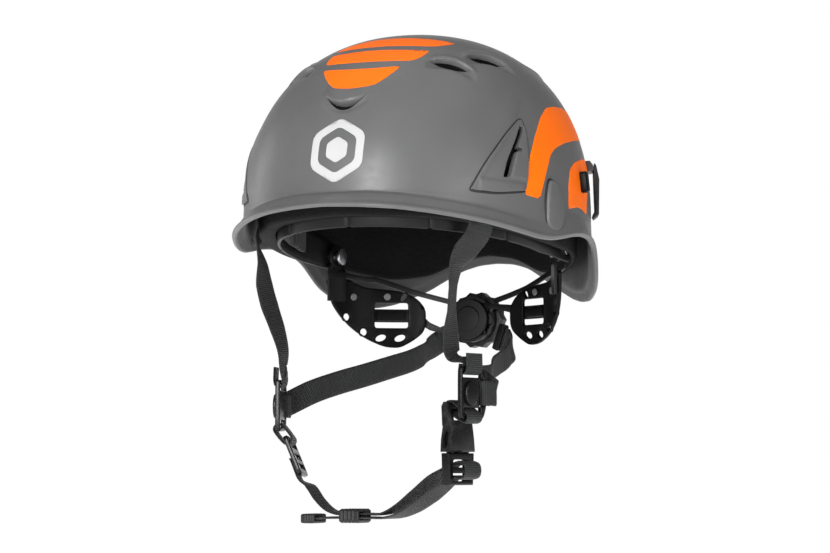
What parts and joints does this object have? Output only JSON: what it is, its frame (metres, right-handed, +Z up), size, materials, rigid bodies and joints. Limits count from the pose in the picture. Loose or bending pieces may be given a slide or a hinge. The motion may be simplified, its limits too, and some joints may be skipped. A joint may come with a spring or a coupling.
{
  "type": "climbing helmet",
  "caption": "Arborist climbing helmet with vented shell, foam liner, tilting nape cradle with size knob, and a chin harness with a side-release buckle.",
  "frame": {"origin": "middle of the head opening, level with the base of the dome", "axes": "+Z up, -Y forward (the wearer faces -Y), +X to the wearer's left"},
  "size_m": [0.2132, 0.2693, 0.301],
  "materials": {
    "shell_grey": "satin moulded plastic",
    "liner_foam": "moulded foam skin",
    "black_plastic": "fine moulded grain",
    "textured_plastic": "ribbed grip texture",
    "grey_plastic": "moulded",
    "comfort_pad": "knit over foam",
    "webbing": "ribbed woven webbing",
    "rubber": "ribbed rubber",
    "steel": "turned",
    "sticker_orange": "printed film",
    "badge_silver": "printed film"
  },
  "bodies": {
    "helmet": {"outer_shell": "shell_grey", "impact_liner": "liner_foam", "headband": "black_plastic", "forehead_pad": "comfort_pad", "temple_pad_left": "comfort_pad", "temple_pad_right": "comfort_pad", "crown_pad": "comfort_pad", "accessory_socket_left": "shell_grey", "accessory_socket_right": "shell_grey", "visor_boss_left": "grey_plastic", "visor_boss_right": "grey_plastic", "side_catch_left": "black_plastic", "side_catch_right": "black_plastic", "lamp_clip_base_left": "black_plastic", "lamp_clip_base_right": "black_plastic", "strap_anchor_left": "black_plastic", "strap_anchor_right": "black_plastic", "front_strap_left": "webbing", "front_strap_right": "webbing", "divider_left": "black_plastic", "divider_right": "black_plastic", "pivot_pin_left": "steel", "pivot_pin_right": "steel", "buckle_socket": "black_plastic", "socket_strap": "webbing", "slider_strap": "webbing", "chin_strap": "webbing", "tail_clip": "rubber"},
    "cradle": {"hub_housing": "black_plastic", "hub_cover": "black_plastic", "cradle_arm_left": "black_plastic", "cradle_arm_right": "black_plastic", "upper_band_left": "black_plastic", "upper_band_right": "black_plastic", "strap_clamp_left": "black_plastic", "strap_clamp_right": "black_plastic", "nape_strap_left": "webbing", "nape_strap_right": "webbing"},
    "cup_left": {"nape_cup_left": "textured_plastic", "rack_left": "black_plastic", "cup_clip_left": "black_plastic", "cup_stud_1_left": "grey_plastic", "cup_stud_2_left": "grey_plastic"},
    "cup_right": {"nape_cup_right": "textured_plastic", "rack_right": "black_plastic", "cup_clip_right": "black_plastic", "cup_stud_1_right": "grey_plastic", "cup_stud_2_right": "grey_plastic"},
    "knob": {"size_knob": "black_plastic", "pinion": "steel"},
    "lamp_clip_left": {"lamp_clip_left": "black_plastic"},
    "lamp_clip_right": {"lamp_clip_right": "black_plastic"},
    "ladder_slider": {"ladder_slider": "black_plastic"},
    "keeper": {"strap_keeper": "rubber"},
    "buckle_tongue": {"buckle_tongue": "black_plastic"},
    "prong_front": {"prong_front": "black_plastic"},
    "prong_rear": {"prong_rear": "black_plastic"}
  },
  "joints": [
    {"name": "cradle_tilt", "type": "hinge", "parent": "helmet", "child": "cradle", "pos_m": [0, 0.041, -0.017], "axis": [1, 0, 0], "range_deg": [-12, 12], "deforming": ["nape_strap_left", "nape_strap_right"]},
    {"name": "size_knob_turn", "type": "hinge", "parent": "cradle", "child": "knob", "pos_m": [0, 0.0963, -0.057], "axis": [0, 1, 0], "range_deg": [-68.8, 68.8]},
    {"name": "cup_left_slide", "type": "slide", "parent": "cradle", "child": "cup_left", "axis": [1, 0, 0], "range_m": [-0.006, 0.006], "deforming": ["cradle_arm_left"]},
    {"name": "cup_right_slide", "type": "slide", "parent": "cradle", "child": "cup_right", "axis": [-1, 0, 0], "range_m": [-0.006, 0.006], "deforming": ["cradle_arm_right"]},
    {"name": "lamp_clip_left_flex", "type": "hinge", "parent": "helmet", "child": "lamp_clip_left", "pos_m": [0.0935, 0.06246, 0.03621], "axis": [0.3696, -0.9292, 0], "range_deg": [0, 9], "stiffness_Nm_per_rad": 0.2},
    {"name": "lamp_clip_right_flex", "type": "hinge", "parent": "helmet", "child": "lamp_clip_right", "pos_m": [-0.0935, 0.06246, 0.03621], "axis": [0.3696, 0.9292, 0], "range_deg": [0, 9], "stiffness_Nm_per_rad": 0.2},
    {"name": "ladder_tilt", "type": "hinge", "parent": "helmet", "child": "ladder_slider", "pos_m": [-0.0591, -0.0605, -0.13656], "axis": [-0.238, 0.965, -0.1102], "range_deg": [-10, 10], "deforming": ["chin_strap"]},
    {"name": "keeper_slide", "type": "slide", "parent": "helmet", "child": "keeper", "axis": [1, 0, 0], "range_m": [-0.005, 0.005]},
    {"name": "buckle_release", "type": "slide", "parent": "helmet", "child": "buckle_tongue", "axis": [0, 0, -1], "range_m": [0, 0.016], "deforming": ["chin_strap"]},
    {"name": "prong_front_squeeze", "type": "hinge", "parent": "buckle_tongue", "child": "prong_front", "pos_m": [0.04889, -0.06581, -0.1455], "axis": [-0.9579, 0.287, 0], "range_deg": [0, 4], "stiffness_Nm_per_rad": 0.02},
    {"name": "prong_rear_squeeze", "type": "hinge", "parent": "buckle_tongue", "child": "prong_rear", "pos_m": [0.05291, -0.05239, -0.1455], "axis": [0.9579, -0.287, 0], "range_deg": [0, 4], "stiffness_Nm_per_rad": 0.02}
  ],
  "couplings": [
    {"joint": "size_knob_turn", "follows": "cup_left_slide", "rad_per_m": 200},
    {"joint": "cup_right_slide", "follows": "cup_left_slide", "ratio": 1},
    {"joint": "prong_rear_squeeze", "follows": "prong_front_squeeze", "ratio": 1}
  ]
}
